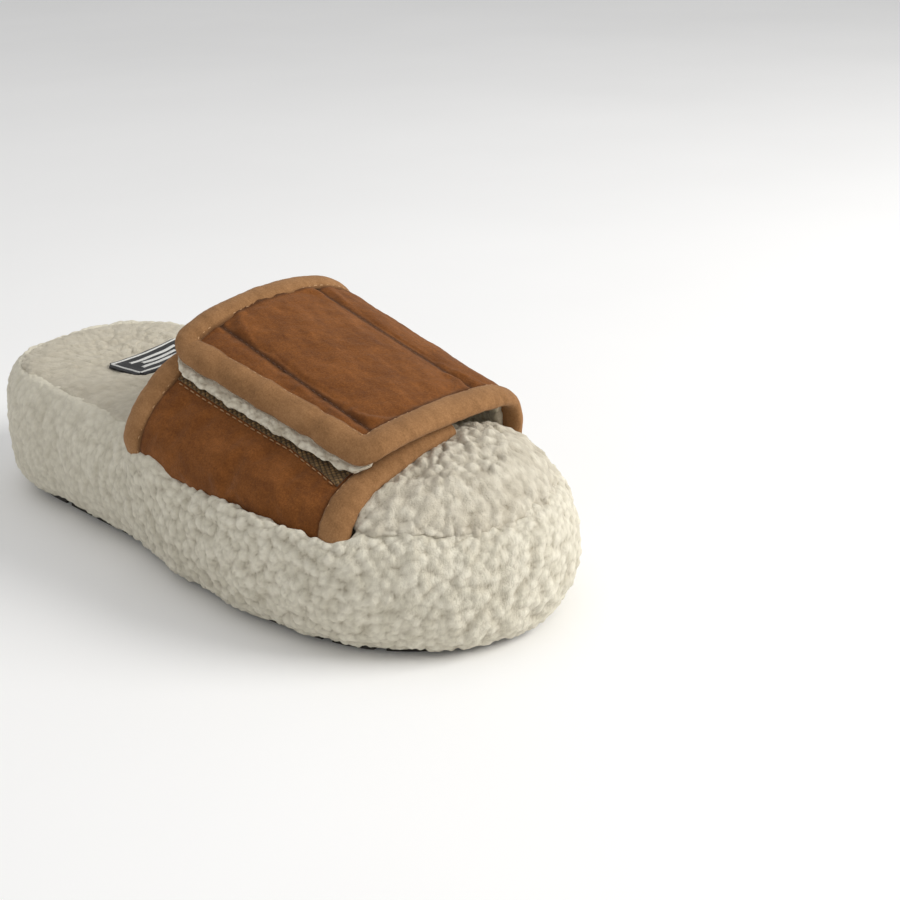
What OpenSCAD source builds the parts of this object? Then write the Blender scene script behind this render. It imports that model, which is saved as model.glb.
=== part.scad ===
// Fluffy house slipper, right foot: a thick curly-fleece platform with an open toe and heel,
// and a wide padded suede strap that closes with hook and loop on the outer side of the foot.
// Millimetres, +Z up, toe towards -Y, outer (little-toe) side towards -X.
// The origin is on the ground, under the middle of the platform.

/* [Platform] */
// Length of the platform, over the fleece
sole_l = 285; // [270:1:300]
// Width of the platform, over the fleece
sole_w = 123; // [118:1:130]
// Height of the footbed at the toe
toe_h = 48; // [46:1:50]
// Height of the footbed at the heel
heel_h = 60; // [57:1:63]
// Thickness of the rubber outsole
outsole_t = 4.5; // [3:0.5:5]
// How far the outsole's edge sits inside the fleece
outsole_inset = 11.4; // [11.4:0.2:14]
// Number of tread grooves across the outsole, even so that the origin is on a land
tread_grooves = 14; // [8:2:20]
// Depth of the layers that lie on the midsole
footbed_depth = 14; // [12:0.5:15]
// Height of the fleece's crown in front of the strap, above the footbed
toe_crown = 9; // [0:0.5:9.5]

/* [Strap] */
// Width of the binding along the strap's edges
binding_w = 11.6; // [9:0.2:12]
// Thickness of the suede
suede_t = 1.2; // [0.8:0.1:1.4]
// How far the flap's top panel swells above its quilting lines
flap_swell = 2.0; // [0.5:0.1:2.4]
// Radius of the flap's free corners
corner_r = 12.4; // [12:0.1:12.8]
// Gap between two panels along a quilting line
hinge_gap = 0.5; // [0.4:0.05:0.8]
// Thickness of the hook and the loop tape
tape_t = 0.6; // [0.4:0.1:0.7]
// Diameter of the sewing thread
thread_d = 0.7; // [0.5:0.1:0.9]

/* [Label] */
// Width of the woven label across the heel
label_w = 42; // [30:1:50]
// Length of the woven label along the foot
label_l = 22; // [18:1:30]

/* [Hidden] */

fleece_cream = [0.90, 0.87, 0.79];
suede_brown = [0.55, 0.31, 0.16];
binding_tan = [0.72, 0.50, 0.31];
foam_white = [0.88, 0.87, 0.83];
thread_tan = [0.78, 0.58, 0.38];
clear = 0.1; // between two layers of the same body

// ---- Plain helpers ----

function unit(v) = v / norm(v);
function mix(a, b, f) = a * (1 - f) + b * f;
function ramp(x, a, b) = let(f = min(max((x - a) / (b - a), 0), 1)) f * f * (3 - 2 * f);
function spread(a, b, n) = [for (i = [0:n]) mix(a, b, i / n)];
// Catmull-Rom curve between b and c
function curve(a, b, c, d, f) =
    0.5 * (2 * b + (c - a) * f + (2 * a - 5 * b + 4 * c - d) * f * f + (3 * b - a - 3 * c + d) * f * f * f);

// Closed solid between two grids of points; loop joins the grid's last row to its first
module between(top, bottom, loop = false, flip = false) {
    n = len(top);
    m = len(top[0]);
    rows = loop ? n : n - 1;
    function top_id(i, j) = (i % n) * m + j;
    function bottom_id(i, j) = n * m + (i % n) * m + j;
    quads = concat(
        [for (i = [0:rows - 1], j = [0:m - 2])
            [top_id(i, j), top_id(i, j + 1), top_id(i + 1, j + 1), top_id(i + 1, j)]],
        [for (i = [0:rows - 1], j = [0:m - 2])
            [bottom_id(i, j), bottom_id(i + 1, j), bottom_id(i + 1, j + 1), bottom_id(i, j + 1)]],
        [for (i = [0:rows - 1]) [top_id(i, 0), top_id(i + 1, 0), bottom_id(i + 1, 0), bottom_id(i, 0)]],
        [for (i = [0:rows - 1], j = [m - 1])
            [top_id(i, j), bottom_id(i, j), bottom_id(i + 1, j), top_id(i + 1, j)]],
        loop ? [] : [for (j = [0:m - 2])
            [top_id(0, j), bottom_id(0, j), bottom_id(0, j + 1), top_id(0, j + 1)]],
        loop ? [] : [for (j = [0:m - 2], i = [n - 1])
            [top_id(i, j), top_id(i, j + 1), bottom_id(i, j + 1), bottom_id(i, j)]]);
    faces = [for (q = quads, k = [0, 1])
        let(t = k == 0 ? [q[0], q[1], q[2]] : [q[0], q[2], q[3]]) flip ? [t[2], t[1], t[0]] : t];
    polyhedron(points = [for (g = [top, bottom], row = g, p = row) p], faces = faces);
}

// Solid through a stack of closed rings, from the lowest ring to the highest.
// A ruled top is made of strips across the last ring, which then needn't be flat.
module stack(rings, ruled_top = false) {
    n = len(rings);
    m = len(rings[0]);
    last = (n - 1) * m;
    strips = concat([[last, last + 1, last + m - 1], [last + m / 2 - 1, last + m / 2, last + m / 2 + 1]],
        [for (j = [1:m / 2 - 2], k = [0, 1])
            let(a = last + j, b = last + m - j) k == 0 ? [a, a + 1, b - 1] : [a, b - 1, b]]);
    sides = [for (i = [0:n - 2], j = [0:m - 1], k = [0, 1])
        let(a = i * m + j, b = i * m + (j + 1) % m, c = a + m, d = b + m) k == 0 ? [a, c, d] : [a, d, b]];
    polyhedron(points = [for (r = rings, p = r) p],
        faces = concat(sides, [[for (j = [0:m - 1]) j]],
            ruled_top ? [for (t = strips) [t[2], t[1], t[0]]] : [[for (j = [m - 1:-1:0]) last + j]]));
}

// Thread of round section along a list of points
module thread(path, d = thread_d, sides = 6) {
    rings = [for (i = [0:len(path) - 1])
        let(t = unit(path[min(i + 1, len(path) - 1)] - path[max(i - 1, 0)]),
            a = unit(cross(t, abs(t[2]) > 0.9 ? [1, 0, 0] : [0, 0, 1])), b = cross(a, t))
        [for (k = [0:sides - 1]) path[i] + (a * cos(k * 360 / sides) + b * sin(k * 360 / sides)) * d / 2]];
    stack(rings);
}

// ---- The platform's outline, anticlockwise from the heel's middle, seen from above ----

OUTLINE = [[-1, 142], [-34, 134], [-52, 108], [-54, 70], [-54.5, 30], [-60, -15], [-61, -60],
    [-50.5, -104], [-22.5, -134], [13, -142], [44.5, -124], [60, -90], [61, -50], [54.5, -10],
    [50, 30], [51.5, 70], [48, 108], [29.5, 134]];
OUTLINE_STEPS = 4;
function corner(i) = OUTLINE[(i + len(OUTLINE)) % len(OUTLINE)];
raw_edge = [for (i = [0:len(OUTLINE) - 1], k = [0:OUTLINE_STEPS - 1])
    curve(corner(i - 1), corner(i), corner(i + 1), corner(i + 2), k / OUTLINE_STEPS)];
raw_low = [for (c = [0, 1]) min([for (p = raw_edge) p[c]])];
raw_high = [for (c = [0, 1]) max([for (p = raw_edge) p[c]])];
plan_scale = [sole_w / (raw_high[0] - raw_low[0]), sole_l / (raw_high[1] - raw_low[1])];
plan_mid = (raw_low + raw_high) / 2;
function place(p) = [for (c = [0, 1]) (p[c] - plan_mid[c]) * plan_scale[c]];
edge = [for (p = raw_edge) place(p)];

// The middle line that insets run towards
SPINE_TOE = [8, -78];
SPINE_HEEL = [-1, 88];
function spine(p) = let(f = min(max((p[1] - SPINE_TOE[1]) / (SPINE_HEEL[1] - SPINE_TOE[1]), 0), 1))
    mix(SPINE_TOE, SPINE_HEEL, f);
function inset(p, d) = p + unit(spine(p) - p) * d;
function top_h(y) = mix(toe_h, heel_h, (y + sole_l / 2) / sole_l);
// 1 where the strap stands in the platform's rim, 0 well away from it
function strap_zone(y) = ramp(y, -114, -103) * (1 - ramp(y, 18, 30));

// A ring of the platform at an inset and at a share of the local height
function ring(d, share) = [for (p = edge) let(q = inset(p, d)) [q[0], q[1], share * top_h(q[1])]];
// A ring whose inset is d away from the strap and d_strap beside it, at a depth below the top
function rim_ring(d, d_strap, depth) = [for (p = edge)
    let(q = inset(p, mix(d, d_strap, strap_zone(p[1])))) [q[0], q[1], top_h(q[1]) - depth]];

core_inset = 6.3;   // the fleece's thickness on the midsole's side
CORE = [[11.2, 0.095], [9.6, 0.17], [7.2, 0.32], [core_inset, 0.48], [core_inset, 0.62]];

// ---- Sole ----

module outsole() {
    groove_w = 4;
    groove_d = 1.5;
    color([0.16, 0.14, 0.13]) difference() {
        linear_extrude(outsole_t) polygon([for (p = edge) inset(p, outsole_inset)]);
        for (i = [0:tread_grooves - 1])
            translate([-sole_w / 2, mix(-0.43, 0.43, i / (tread_grooves - 1)) * sole_l - groove_w / 2, -1])
                cube([sole_w, groove_w, 1 + groove_d]);
    }
}

module midsole() {
    color(foam_white) stack(concat(
        [[for (p = edge) let(q = inset(p, CORE[0][0])) [q[0], q[1], outsole_t]]],
        [for (c = CORE) ring(c[0] + clear, c[1])],
        [rim_ring(core_inset + clear, core_inset + clear, footbed_depth)]));
}

module sidewall_fleece() {
    // inset and share of height, from the lower lip to the crest, away from the strap
    open_out = [[9.8, 0.055], [7, 0.08], [3, 0.17], [0.7, 0.32], [0, 0.48], [1, 0.68], [4.2, 0.84],
        [8, 0.925], [11, 0.94]];
    // the same beside the strap, where the rim is low and thin
    strap_out = [[9.8, 0.055], [7, 0.08], [3, 0.17], [0.7, 0.32], [0, 0.48], [0.4, 0.63], [1.1, 0.71],
        [2, 0.765], [2.9, 0.785]];
    open_in = [CORE[0], mix(CORE[0], CORE[1], 0.5), CORE[1], CORE[2], CORE[3], CORE[4]];
    function side_row(p) = [for (k = [0:len(open_out) - 1])
        let(f = strap_zone(p[1]), c = mix(open_out[k], strap_out[k], f), q = inset(p, c[0]))
        [q[0], q[1], c[1] * top_h(q[1])]];
    function core_row(p) = concat(
        [for (c = open_in) let(q = inset(p, c[0])) [q[0], q[1], c[1] * top_h(q[1])]],
        let(f = strap_zone(p[1]),
            low = inset(p, core_inset),
            back = inset(p, mix(12.6, core_inset + 0.3, f)),
            lip = inset(p, mix(12.6, 3.8, f)))
        [[low[0], low[1], top_h(low[1]) - footbed_depth + clear],
         [back[0], back[1], top_h(back[1]) - footbed_depth + 2 * clear],
         [lip[0], lip[1], mix(0.9, 0.765, f) * top_h(lip[1])]]);
    color(fleece_cream) between([for (p = edge) side_row(p)], [for (p = edge) core_row(p)], loop = true);
}

module insole_board() {
    color([0.62, 0.52, 0.38]) stack([
        rim_ring(14, 19, footbed_depth - 2 * clear),
        rim_ring(14, 19, footbed_depth - 2)]);
}

module footbed_foam() {
    color(foam_white) stack([
        rim_ring(15, 20, footbed_depth - 2 - clear),
        rim_ring(15, 20, 6.5),
        rim_ring(17, 22, 5)]);
}

// The crown is highest under the strap's front edge and falls away towards the toe and the arch
CROWN_TOP = [17, -94];
function crown(p) = let(x = (p[0] - CROWN_TOP[0]) / (p[0] < CROWN_TOP[0] ? 34 : 25))
    toe_crown * exp(-x * x) * ramp(p[1], -140, CROWN_TOP[1] - 3) * (1 - ramp(p[1], CROWN_TOP[1] + 6, -64));
function crowned(ring) = [for (p = ring) p + [0, 0, crown(p)]];

module footbed_fleece() {
    inner = [for (d = [27, 36, 45]) crowned(rim_ring(d, d, 0))];
    color(fleece_cream * 0.96) stack(concat([
        rim_ring(16.5, 21.5, 5 - clear),
        rim_ring(13.3, 17.6, 4),
        rim_ring(13.3, 17.6, 2.4),
        rim_ring(15.5, 19, 0.9),
        crowned(rim_ring(20, 22, 0.2))],
        inner), ruled_top = true);
}

// Things that lie flat on the footbed round the label's middle
label_at = [5, 77];
module on_footbed() {
    slope = atan((heel_h - toe_h) / sole_l);
    translate([label_at[0], label_at[1], top_h(label_at[1])]) rotate([slope, 0, 0]) rotate(8) children();
}
module rounded(w, l, r) {
    hull() for (x = [-1, 1], y = [-1, 1]) translate([x * (w / 2 - r), y * (l / 2 - r)]) circle(r, $fn = 24);
}

module woven_label() {
    color([0.08, 0.08, 0.09]) on_footbed()
        translate([0, 0, 0.05]) linear_extrude(0.8) rounded(label_w, label_l, 3);
}

module label_stitching() {
    margin = 2;
    color([0.75, 0.75, 0.74]) on_footbed() translate([0, 0, 0.85]) linear_extrude(0.4) difference() {
        rounded(label_w - 2 * margin, label_l - 2 * margin, 2);
        rounded(label_w - 2 * margin - 1.2, label_l - 2 * margin - 1.2, 1.5);
    }
}

// ---- The strap's two curved sheets ----
// Each rail crosses the strap from its front edge to its rear edge: [front, rear, sideways bow].
// The base rises from the outer side of the sole and ends on top of the foot, under the flap.
BASE = [
    [[-43, -100, 38], [-48.5, 15, 42.6], -5.5],
    [[-45, -99, 44], [-54, 14, 50], -5.5],
    [[-37.5, -97, 52], [-56, 12.5, 58], -4],
    [[-27, -96, 56.5], [-51, 10.5, 69], -2],
    [[-15, -95.5, 60], [-39, 9, 80], -1],
    [[-3, -95, 62.5], [-21, 7.5, 86.5], 0],
    [[13, -94, 64], [-1, 7, 89], 0]];
// The flap rises from the inner side, crosses the top and ends over the base.
FLAP = [
    [[48.5, -94, 38], [42.5, 15, 42.6], 5],
    [[46.5, -94, 46], [48, 14, 54], 4.5],
    [[47, -94.5, 56], [51.5, 12, 70], 3],
    [[45, -95.5, 64.5], [49, 9.5, 86], 1],
    [[39.5, -96.5, 68.5], [41.5, 8, 94.5], 0.5],
    [[31, -97, 70], [28.5, 8, 98.5], 0],
    [[16, -97, 70.8], [13, 8, 99.2], 0],
    [[-3, -97, 70.6], [-4, 8, 98.3], 0],
    [[-20.5, -97, 69.3], [-19.5, 8, 95.5], 0],
    [[-26.5, -97, 67], [-31, 7.5, 91.5], 0],
    [[-31.5, -97, 62.5], [-39.5, 7, 86], 0]];
side_end = 5;    // the rail where the quilting line on the inner side runs
flap_end = 8;    // the rail of the quilting line near the free end
free_end = 10;   // the rail of the free end
base_end = 6;

function along(rails, k, u) =
    let(n = len(rails) - 1, w = min(max(u, 0), n), i = min(floor(w), n - 1),
        before = i > 0 ? rails[i - 1][k] : 2 * rails[0][k] - rails[1][k],
        after = i + 2 <= n ? rails[i + 2][k] : 2 * rails[n][k] - rails[n - 1][k])
    curve(before, rails[i][k], rails[i + 1][k], after, w - i);
function put(p) = concat(place([p[0] + plan_mid[0], p[1] + plan_mid[1]]), [p[2]]);
function mid_at(rails, u, v) = put(mix(along(rails, 0, u), along(rails, 1, u), v)
    + [along(rails, 2, u) * 4 * v * (1 - v), 0, 0]);
// Outward direction of a sheet; the flap runs the other way round, so its sign turns
function outward(rails, u, v) =
    let(e = 0.02, n = len(rails) - 1, w = min(max(u, e), n - e),
        du = mid_at(rails, w + e, v) - mid_at(rails, w - e, v),
        dv = mid_at(rails, w, v + e) - mid_at(rails, w, v - e))
    unit(cross(du, dv)) * (rails[0][0][0] < 0 ? 1 : -1);
function lift(rails, u, v, t) = mid_at(rails, u, v) + outward(rails, u, v) * t;
// Share of the way across for a distance w from the front edge, or from the rear edge
function across(rails, u) = norm(mid_at(rails, u, 1) - mid_at(rails, u, 0));
function from_front(rails, u, w) = w / across(rails, u);
function from_rear(rails, u, w) = 1 - w / across(rails, u);
// Rail step that is half the hinge gap
gap_u = hinge_gap / 2 / 14;

// ---- Thickness of the layers, measured outward from a sheet's middle ----

seam_in = 1.6;    // distance of the binding's seam from the binding's inner edge
pinch_t = 1.6;    // outer face of the suede along a quilting line
lining_top = -0.6;
lining_low = -3.0;
seam_t = 2.5;     // height of the binding's seam
function swell(u, a, b) = pow(max(sin(180 * (u - a) / (b - a)), 0), 0.7);
function base_top(u) = 1.5 + 0.7 * swell(u, -0.5, base_end + 0.5);
function flap_top(u) = pinch_t + (u < side_end ? 1.6 * swell(u, 0, side_end)
    : u < flap_end ? flap_swell * swell(u, side_end, flap_end) : 0.8 * swell(u, flap_end, free_end + 1));

// A layer over the rails from u0 to u1, between distances w from both edges
module layer(rails, u_list, w_list, top, low) {
    function v_at(u, k) = k < len(w_list) ? from_front(rails, u, w_list[k])
        : from_rear(rails, u, w_list[2 * len(w_list) - 1 - k]);
    function w_at(k) = k < len(w_list) ? w_list[k] : w_list[2 * len(w_list) - 1 - k];
    last = 2 * len(w_list) - 1;
    between(
        [for (u = u_list) [for (k = [0:last]) lift(rails, u, v_at(u, k), top(u, w_at(k)))]],
        [for (u = u_list) [for (k = [0:last]) lift(rails, u, v_at(u, k), low(u, w_at(k)))]],
        flip = rails[0][0][0] > 0);
}

panel_w = [binding_w + 0.2, 20, 30, 42];
padding_w = [3.2, 6.5, binding_w - 0.3, binding_w + 1.2, 20, 30, 42];
lining_w = [binding_w - 1.2, 20, 30, 42];

// Section of a binding: distance from the edge and height, outside and inside of the fold
BIND_OUT = [[1, 2.3], [0.8, 2.55], [0.45, 2.6], [0.16, 2.1], [0.03, 1.1], [0, 0], [0.03, -1.1],
    [0.16, -2.0], [0.45, -2.3], [0.85, -2.3]];
BIND_IN = [[1, 1.2], [0.8, 1.35], [0.48, 1.4], [0.25, 1.1], [0.14, 0.6], [0.12, 0], [0.14, -0.6],
    [0.25, -1.05], [0.48, -1.15], [0.85, -1.15]];

// A binding along a straight edge; at_front picks the front edge or the rear one
module edge_binding(rails, u_list, at_front) {
    function spot(u, c) = lift(rails, u,
        at_front ? from_front(rails, u, c[0] * binding_w) : from_rear(rails, u, c[0] * binding_w), c[1]);
    between(
        [for (u = u_list) [for (c = BIND_OUT) spot(u, c)]],
        [for (u = u_list) [for (c = BIND_IN) spot(u, c)]],
        flip = (rails[0][0][0] > 0) != at_front);
}

// A seam that runs beside a binding, at height t
module edge_seam(rails, u_list, at_front) {
    w = binding_w - seam_in;
    thread([for (u = u_list) lift(rails, u,
        at_front ? from_front(rails, u, w) : from_rear(rails, u, w), seam_t + thread_d / 2)]);
}

// ---- Base of the strap, on the outer side ----

base_u = spread(0, base_end, 15);

module base_suede() {
    color(suede_brown) layer(BASE, base_u, panel_w,
        function(u, w) base_top(u), function(u, w) base_top(u) - suede_t);
}

module base_padding() {
    color(foam_white) layer(BASE, base_u, padding_w,
        function(u, w) min(w < binding_w ? 0.9 : 9, base_top(u) - suede_t - clear),
        function(u, w) lining_top + clear);
}

module base_lining() {
    color(fleece_cream) layer(BASE, base_u, lining_w,
        function(u, w) lining_top, function(u, w) lining_low);
}

module base_front_binding() {
    color(binding_tan) edge_binding(BASE, base_u, true);
}

module base_rear_binding() {
    color(binding_tan) edge_binding(BASE, base_u, false);
}

module base_stitching() {
    color(thread_tan) {
        edge_seam(BASE, spread(0.9, base_end - 2.4, 14), true);
        edge_seam(BASE, spread(0.9, base_end - 2.4, 14), false);
    }
}

// The loop tape lies on the base's suede, from just below the flap's free end to the base's end.
// Rail of the patch's lower edge, by the share of the way across; it dips towards the front
LOOP_EDGE = [[0.1, 2.45], [0.2, 2.8], [0.34, 3.18], [0.6, 3.5], [0.9, 3.8]];
loop_rows = 8;
loop_columns = 12;
// Share across for a column, between the two bindings
function loop_v(k) =
    mix(from_front(BASE, 4, binding_w + 1.5), from_rear(BASE, 4, binding_w + 1.5), k / loop_columns);
module loop_patch() {
    function row(f, t) = [for (k = [0:loop_columns])
        let(v = loop_v(k), u = mix(lookup(v, LOOP_EDGE), base_end - 0.1, f))
        lift(BASE, u, v, base_top(u) + t)];
    color([0.26, 0.20, 0.12]) between(
        [for (f = spread(0, 1, loop_rows)) row(f, clear + tape_t)],
        [for (f = spread(0, 1, loop_rows)) row(f, clear)]);
}

module loop_patch_stitching() {
    color(thread_tan) thread([for (k = [0:loop_columns])
        let(v = loop_v(k), u = lookup(v, LOOP_EDGE) - 0.12)
        lift(BASE, u, v, base_top(u) + clear + thread_d / 2)]);
}

// ---- Inner side panel, fixed to the sole ----

side_u = spread(0, side_end - gap_u, 13);

module side_suede() {
    color(suede_brown) layer(FLAP, side_u, panel_w,
        function(u, w) flap_top(u), function(u, w) flap_top(u) - suede_t);
}

module side_padding() {
    color(foam_white) layer(FLAP, side_u, padding_w,
        function(u, w) min(w < binding_w ? 0.9 : 9, flap_top(u) - suede_t - clear),
        function(u, w) lining_top + clear);
}

module side_lining() {
    color(fleece_cream) layer(FLAP, side_u, lining_w,
        function(u, w) lining_top, function(u, w) lining_low);
}

module side_front_binding() {
    color(binding_tan) edge_binding(FLAP, side_u, true);
}

module side_rear_binding() {
    color(binding_tan) edge_binding(FLAP, side_u, false);
}

module side_stitching() {
    color(thread_tan) {
        edge_seam(FLAP, spread(1.2, side_end - 0.1, 12), true);
        edge_seam(FLAP, spread(1.2, side_end - 0.1, 12), false);
    }
}

// A seam across a panel, just beside a quilting line
module channel_seam(u) {
    color(thread_tan * 0.7) thread([for (k = [0:14])
        lift(FLAP, u, mix(from_front(FLAP, u, binding_w + 0.5), from_rear(FLAP, u, binding_w + 0.5), k / 14),
            flap_top(u) + thread_d / 2 + 0.05)]);
}

module side_channel_stitching() {
    channel_seam(side_end - 0.09);
}

// ---- Top panel of the flap ----

flap_u = spread(side_end + gap_u, flap_end - gap_u, 10);

module flap_suede() {
    color(suede_brown) layer(FLAP, flap_u, panel_w,
        function(u, w) flap_top(u), function(u, w) flap_top(u) - suede_t);
}

module flap_padding() {
    color(foam_white) layer(FLAP, flap_u, padding_w,
        function(u, w) min(w < binding_w ? 0.9 : 9, flap_top(u) - suede_t - clear),
        function(u, w) lining_top + clear);
}

module flap_lining() {
    color(fleece_cream) layer(FLAP, flap_u, lining_w,
        function(u, w) lining_top, function(u, w) lining_low);
}

module flap_front_binding() {
    color(binding_tan) edge_binding(FLAP, flap_u, true);
}

module flap_rear_binding() {
    color(binding_tan) edge_binding(FLAP, flap_u, false);
}

module flap_stitching() {
    color(thread_tan) {
        edge_seam(FLAP, spread(side_end + 0.1, flap_end - 0.1, 9), true);
        edge_seam(FLAP, spread(side_end + 0.1, flap_end - 0.1, 9), false);
    }
}

module flap_channel_stitching() {
    channel_seam(flap_end - 0.08);
}

module hook_patch() {
    color([0.14, 0.12, 0.10]) layer(FLAP, spread(side_end + 1.1, flap_end - 0.25, 7), [19, 27, 36, 45],
        function(u, w) lining_low - clear, function(u, w) lining_low - clear - tape_t);
}

// ---- Tip of the flap, the end that the hand peels up ----
// Places on the tip are (a, s): a from the free end, s from the front edge, both in millimetres.

function tip_width(v) = norm(mid_at(FLAP, flap_end, v) - mid_at(FLAP, flap_end + 1, v))
    + norm(mid_at(FLAP, flap_end + 1, v) - mid_at(FLAP, free_end, v));
tip_across = across(FLAP, free_end);
tip_start = flap_end + gap_u;
function tip_spot(a, s, t) =
    let(v = s / tip_across, u = max(free_end - (free_end - flap_end) * a / tip_width(v), tip_start))
    lift(FLAP, u, v, t);

// The edge's path round the tip and the direction into the panel, at every station
ARC_STEPS = 6;
tip_edge = concat(
    [for (a = spread(tip_width(0), corner_r, 1)) [[a, 0], [0, 1]]],
    [for (k = [1:ARC_STEPS]) let(q = 90 * k / ARC_STEPS)
        [[corner_r * (1 - sin(q)), corner_r * (1 - cos(q))], [sin(q), cos(q)]]],
    [for (s = spread(corner_r + 10, tip_across - corner_r - 10, 6)) [[0, s], [1, 0]]],
    [for (k = [0:ARC_STEPS]) let(q = 90 * k / ARC_STEPS)
        [[corner_r * (1 - cos(q)), tip_across - corner_r * (1 - sin(q))], [cos(q), -sin(q)]]],
    [for (a = spread(corner_r + 3, tip_width(1), 2)) [[a, tip_across], [0, -1]]]);

module tip_binding() {
    function spot(e, c) = let(p = e[0] + e[1] * c[0] * binding_w) tip_spot(p[0], p[1], c[1]);
    color(binding_tan) between(
        [for (e = tip_edge) [for (c = BIND_OUT) spot(e, c)]],
        [for (e = tip_edge) [for (c = BIND_IN) spot(e, c)]], flip = false);
}

module tip_stitching() {
    w = binding_w - seam_in;
    color(thread_tan) thread([for (e = tip_edge)
        let(p = e[0] + e[1] * w, a = min(p[0], tip_width(p[1] / tip_across) - 0.8))
        tip_spot(a, p[1], seam_t + thread_d / 2)]);
}

// A layer of the tip that starts at distance a_first from the free end,
// between distances from both edges
module tip_layer(a_first, s_list, top, low) {
    function s_at(k) = k < len(s_list) ? s_list[k] : tip_across - s_list[2 * len(s_list) - 1 - k];
    function w_at(k) = k < len(s_list) ? s_list[k] : s_list[2 * len(s_list) - 1 - k];
    last = 2 * len(s_list) - 1;
    // a share of 1 is the quilting line, a share of 0 the start
    function a_at(f, k) = mix(a_first, tip_width(s_at(k) / tip_across), f);
    function grid(t) = [for (f = [1, 0.75, 0.5, 0.25, 0])
        [for (k = [0:last]) tip_spot(a_at(f, k), s_at(k), t(f, min(w_at(k), a_at(f, k))))]];
    between(grid(top), grid(low), flip = true);
}

module tip_suede() {
    tip_swell = 0.8;
    color(suede_brown) tip_layer(binding_w + 0.2, panel_w,
        function(f, w) pinch_t + tip_swell * sin(90 * (1 - f)),
        function(f, w) pinch_t + tip_swell * sin(90 * (1 - f)) - suede_t);
}

module tip_padding() {
    color(foam_white) tip_layer(6, [6, 9, binding_w, 20, 30, 42],
        function(f, w) 0.3, function(f, w) lining_top + clear);
}

module tip_lining() {
    color(fleece_cream) tip_layer(binding_w - 1.2, lining_w,
        function(f, w) lining_top, function(f, w) lining_low - 0.4);
}

outsole();
midsole();
sidewall_fleece();
insole_board();
footbed_foam();
footbed_fleece();
woven_label();
label_stitching();
base_suede();
base_padding();
base_lining();
base_front_binding();
base_rear_binding();
base_stitching();
loop_patch();
loop_patch_stitching();
side_suede();
side_padding();
side_lining();
side_front_binding();
side_rear_binding();
side_stitching();
side_channel_stitching();
flap_suede();
flap_padding();
flap_lining();
flap_front_binding();
flap_rear_binding();
flap_stitching();
flap_channel_stitching();
hook_patch();
tip_suede();
tip_padding();
tip_lining();
tip_binding();
tip_stitching();
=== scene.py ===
"""Looks of the fluffy house slipper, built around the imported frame.

Shapes are worked out in millimetres, with the same outline and rails as the CAD part, and are
turned into metres when a mesh is made. +Z is up, the toe points to -Y, the outer side is -X.
"""
import math

import bmesh
import bpy
import numpy as np
from mathutils import Matrix, Vector, kdtree


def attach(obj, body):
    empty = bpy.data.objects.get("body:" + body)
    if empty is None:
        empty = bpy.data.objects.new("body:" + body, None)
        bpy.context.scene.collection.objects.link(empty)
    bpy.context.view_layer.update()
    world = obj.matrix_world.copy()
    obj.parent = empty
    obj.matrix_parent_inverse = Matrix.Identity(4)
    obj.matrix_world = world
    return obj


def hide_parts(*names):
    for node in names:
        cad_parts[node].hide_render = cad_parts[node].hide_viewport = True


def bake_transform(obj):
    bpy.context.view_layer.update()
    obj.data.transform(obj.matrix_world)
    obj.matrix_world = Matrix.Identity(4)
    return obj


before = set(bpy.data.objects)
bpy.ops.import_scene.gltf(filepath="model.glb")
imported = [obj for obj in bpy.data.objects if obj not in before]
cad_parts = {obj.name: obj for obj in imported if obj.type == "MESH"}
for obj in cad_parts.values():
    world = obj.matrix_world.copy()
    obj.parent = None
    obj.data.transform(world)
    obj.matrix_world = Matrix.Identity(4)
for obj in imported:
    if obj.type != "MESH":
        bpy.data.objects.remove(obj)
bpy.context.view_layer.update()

MM = 0.001


# ---- Plain helpers ----

def mix(a, b, f):
    return a * (1 - f) + b * f


def ramp(x, a, b):
    f = np.clip((np.asarray(x, float) - a) / (b - a), 0, 1)
    return f * f * (3 - 2 * f)


def unit(v):
    return v / np.maximum(np.linalg.norm(v, axis=-1, keepdims=True), 1e-9)


def on_plane(x, y):
    """Points of the plane z = 0."""
    return np.stack([x, y, 0 * x], -1)


def catmull(a, b, c, d, f):
    return 0.5 * (2 * b + (c - a) * f + (2 * a - 5 * b + 4 * c - d) * f * f
                  + (3 * b - a - 3 * c + d) * f * f * f)


def smooth_line(points, steps):
    """Catmull-Rom points through an open list; points is (n, ...), returns (n - 1) * steps + 1."""
    p = np.asarray(points, float)
    p = np.concatenate([[2 * p[0] - p[1]], p, [2 * p[-1] - p[-2]]])
    out = [catmull(*p[i:i + 4], k / steps) for i in range(len(p) - 3) for k in range(steps)]
    return np.array(out + [p[-2]])


def even(line, n, closed=False):
    """n points evenly spaced along a polyline."""
    line = np.asarray(line, float)
    if closed:
        line = np.concatenate([line, line[:1]])
    at = np.concatenate([[0], np.cumsum(np.linalg.norm(np.diff(line, axis=0), axis=1))])
    want = np.linspace(0, at[-1], n + 1)[:-1] if closed else np.linspace(0, at[-1], n)
    return np.stack([np.interp(want, at, line[:, k]) for k in range(line.shape[1])], axis=1)


def waves(p, size, seed, layers=5):
    """Smooth noise from -1 to 1 at points p, made of turned sine waves of about that size."""
    rng = np.random.default_rng(seed)
    total = np.zeros(p.shape[:-1])
    for _ in range(layers):
        d = unit(rng.normal(size=3))
        e = unit(rng.normal(size=3))
        k = 2 * math.pi / (size * rng.uniform(0.7, 1.5))
        total += np.sin((p @ d) * k + rng.uniform(0, 6.28) + 1.3 * np.sin((p @ e) * k * 0.7))
    return total / layers * 1.4


# ---- Sole outline, as in the CAD part ----

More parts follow.
